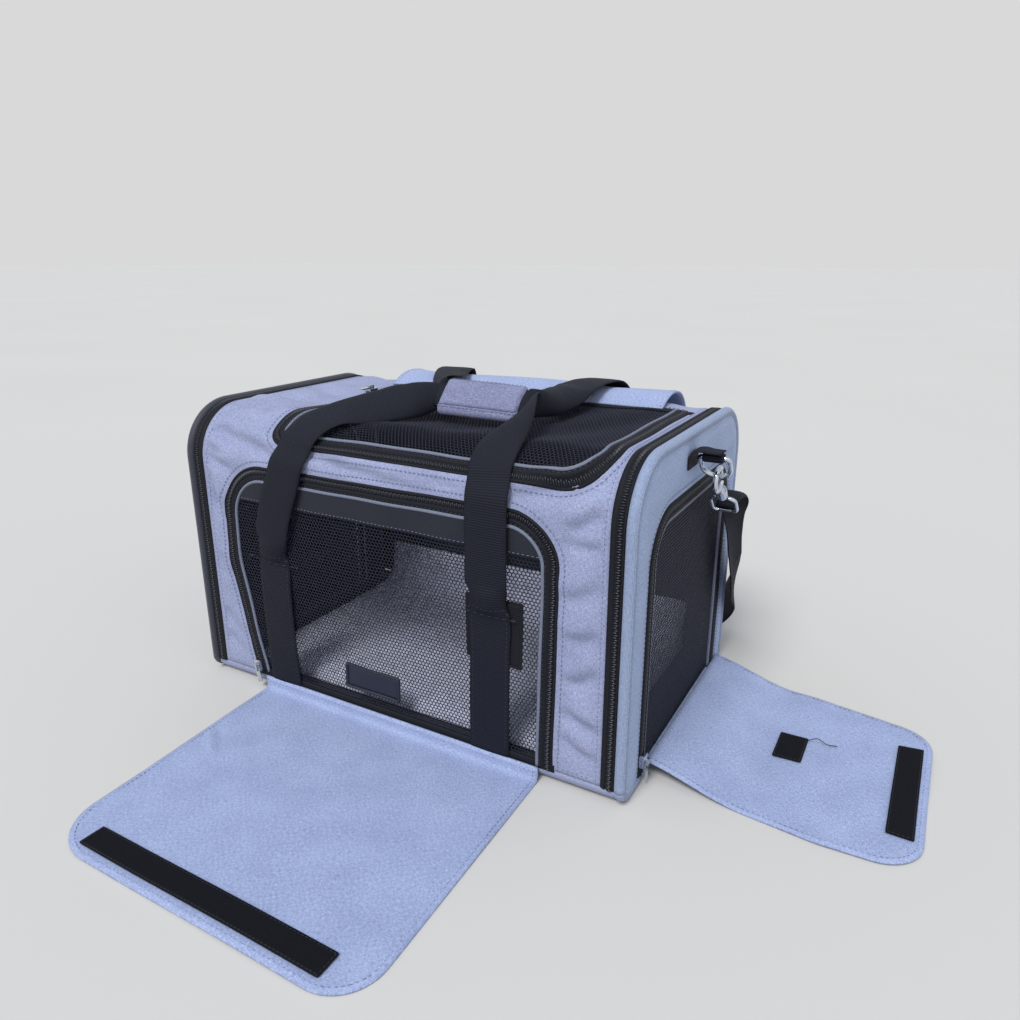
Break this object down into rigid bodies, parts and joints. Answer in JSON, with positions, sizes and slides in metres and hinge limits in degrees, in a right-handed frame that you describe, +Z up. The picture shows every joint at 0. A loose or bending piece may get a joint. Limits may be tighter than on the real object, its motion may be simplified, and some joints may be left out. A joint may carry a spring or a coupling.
{
  "type": "pet carrier bag",
  "caption": "Soft-sided pet carrier bag with mesh windows, zip openings, fold-down privacy flaps, webbing handles with a grip wrap and a clip-on shoulder strap.",
  "frame": {"origin": "centre of the base, on the surface the bag stands on", "axes": "+X along the bag to its right end, +Y to its rear, +Z up"},
  "size_m": [0.7045, 0.609, 0.313],
  "materials": {
    "grey_fabric": "matte",
    "panel_fabric": "matte",
    "fleece": "matte",
    "board_plastic": "matte",
    "light_piping": "satin",
    "black_mesh": "matte",
    "black_zipper": "matte",
    "black_webbing": "matte",
    "hook_tape": "matte",
    "label_rubber": "satin",
    "spring_steel": "satin",
    "black_plastic": "satin",
    "bright_metal": "polished"
  },
  "bodies": {
    "bag": {"base_board": "board_plastic", "base_panel": "grey_fabric", "comfort_mat": "fleece", "door_zipper_left": "black_zipper", "door_zipper_right": "black_zipper", "end_panel_left": "panel_fabric", "end_panel_right": "panel_fabric", "end_zipper_left": "black_zipper", "end_zipper_right": "black_zipper", "front_loop_band": "black_webbing", "front_mesh": "black_mesh", "front_panel": "grey_fabric", "front_webbing_left": "black_webbing", "front_webbing_right": "black_webbing", "front_zipper": "black_zipper", "label_patch": "label_rubber", "piping": "light_piping", "rear_panel": "grey_fabric", "rear_webbing": "black_webbing", "ring_tabs": "black_webbing", "shoulder_strap": "black_webbing", "strap_adjuster": "black_plastic", "top_flap": "grey_fabric", "top_mesh": "black_mesh", "top_panel": "grey_fabric", "top_zipper": "black_zipper", "webbing_patch": "black_webbing", "wire_frames": "spring_steel"},
    "handles": {"handle_front": "black_webbing", "handle_rear": "black_webbing", "grip_wrap": "grey_fabric"},
    "front_flap": {"front_flap": "grey_fabric", "front_flap_tape": "hook_tape"},
    "right_flap": {"right_flap": "grey_fabric", "right_flap_tape": "hook_tape", "right_flap_patch": "hook_tape"},
    "left_flap": {"left_flap": "grey_fabric", "left_flap_tape": "hook_tape"},
    "door_right": {"door_mesh_right": "black_mesh", "door_piping_right": "light_piping"},
    "door_left": {"door_mesh_left": "black_mesh", "door_piping_left": "light_piping"},
    "ring_right": {"d_ring_right": "bright_metal", "hook_eye_right": "bright_metal"},
    "ring_left": {"d_ring_left": "bright_metal", "hook_eye_left": "bright_metal"},
    "hook_right": {"snap_hook_right": "bright_metal"},
    "hook_left": {"snap_hook_left": "bright_metal"},
    "gate_right": {"hook_gate_right": "bright_metal"},
    "gate_left": {"hook_gate_left": "bright_metal"},
    "slider_front": {"slider_front": "bright_metal"},
    "slider_top": {"slider_top": "bright_metal"},
    "slider_door_right": {"slider_door_right": "bright_metal"},
    "slider_door_left": {"slider_door_left": "bright_metal"},
    "slider_end_right": {"slider_end_right": "bright_metal"},
    "slider_end_left": {"slider_end_left": "bright_metal"},
    "pull_front": {"pull_front": "bright_metal"},
    "pull_top": {"pull_top": "bright_metal"},
    "pull_door_right": {"pull_door_right": "bright_metal"},
    "pull_door_left": {"pull_door_left": "bright_metal"}
  },
  "joints": [
    {"name": "front_flap_hinge", "type": "hinge", "parent": "bag", "child": "front_flap", "pos_m": [0, -0.1465, 0.0015], "axis": [-1, 0, 0], "range_deg": [0, 88]},
    {"name": "right_flap_hinge", "type": "hinge", "parent": "bag", "child": "right_flap", "pos_m": [0.234, 0, 0.014], "axis": [0, -1, 0], "range_deg": [0, 82]},
    {"name": "left_flap_hinge", "type": "hinge", "parent": "bag", "child": "left_flap", "pos_m": [-0.2344, 0, 0.014], "axis": [0, -1, 0], "range_deg": [0, 92]},
    {"name": "door_right_hinge", "type": "hinge", "parent": "bag", "child": "door_right", "pos_m": [0.2285, 0, 0.01], "axis": [0, -1, 0], "range_deg": [0, 55]},
    {"name": "door_left_hinge", "type": "hinge", "parent": "bag", "child": "door_left", "pos_m": [-0.2285, 0, 0.01], "axis": [0, 1, 0], "range_deg": [0, 55]},
    {"name": "handle_lift", "type": "slide", "parent": "bag", "child": "handles", "axis": [0, 0, 1], "range_m": [0, 0.06]},
    {"name": "ring_right_swing", "type": "hinge", "parent": "bag", "child": "ring_right", "pos_m": [0.2495, -0.022, 0.263], "axis": [-1, 0, 0], "range_deg": [0, 60]},
    {"name": "ring_left_swing", "type": "hinge", "parent": "bag", "child": "ring_left", "pos_m": [-0.2495, -0.022, 0.263], "axis": [-1, 0, 0], "range_deg": [0, 60]},
    {"name": "hook_right_swivel", "type": "hinge", "parent": "ring_right", "child": "hook_right", "pos_m": [0.2495, -0.00099, 0.23967], "axis": [0, 0.6691, -0.7431], "range_deg": [-25, 25]},
    {"name": "hook_left_swivel", "type": "hinge", "parent": "ring_left", "child": "hook_left", "pos_m": [-0.2495, 0.00833, 0.25487], "axis": [0, 0.9659, -0.2588], "range_deg": [-25, 25]},
    {"name": "gate_right_hinge", "type": "hinge", "parent": "hook_right", "child": "gate_right", "pos_m": [0.2495, 0.00863, 0.23945], "axis": [1, 0, 0], "range_deg": [0, 22], "stiffness_Nm_per_rad": 0.004, "springref_deg": -22.92},
    {"name": "gate_left_hinge", "type": "hinge", "parent": "hook_left", "child": "gate_left", "pos_m": [-0.2495, 0.01652, 0.25993], "axis": [1, 0, 0], "range_deg": [0, 22], "stiffness_Nm_per_rad": 0.004, "springref_deg": -22.92},
    {"name": "slider_front_run", "type": "slide", "parent": "bag", "child": "slider_front", "axis": [-0.1945, 0, 0.9809], "range_m": [0, 0.08]},
    {"name": "slider_top_run", "type": "slide", "parent": "bag", "child": "slider_top", "axis": [0, 1, 0], "range_m": [-0.095, 0.025]},
    {"name": "slider_door_right_run", "type": "slide", "parent": "bag", "child": "slider_door_right", "axis": [0, 0, 1], "range_m": [0, 0.15]},
    {"name": "slider_door_left_run", "type": "slide", "parent": "bag", "child": "slider_door_left", "axis": [0, 0, 1], "range_m": [0, 0.15]},
    {"name": "slider_end_right_run", "type": "slide", "parent": "bag", "child": "slider_end_right", "axis": [0, 0, 1], "range_m": [0, 0.19]},
    {"name": "slider_end_left_run", "type": "slide", "parent": "bag", "child": "slider_end_left", "axis": [0, 0, 1], "range_m": [0, 0.19]},
    {"name": "pull_front_hinge", "type": "hinge", "parent": "slider_front", "child": "pull_front", "pos_m": [-0.1611, -0.1458, 0.023], "axis": [-0.9809, 0, -0.1945], "range_deg": [0, 150]},
    {"name": "pull_top_hinge", "type": "hinge", "parent": "slider_top", "child": "pull_top", "pos_m": [-0.1225, 0.01, 0.2858], "axis": [-1, 0, 0], "range_deg": [0, 150]},
    {"name": "pull_door_right_hinge", "type": "hinge", "parent": "slider_door_right", "child": "pull_door_right", "pos_m": [0.2358, -0.1025, 0.023], "axis": [0, -1, 0], "range_deg": [0, 150]},
    {"name": "pull_door_left_hinge", "type": "hinge", "parent": "slider_door_left", "child": "pull_door_left", "pos_m": [-0.2358, -0.1025, 0.023], "axis": [0, 1, 0], "range_deg": [0, 150]}
  ]
}
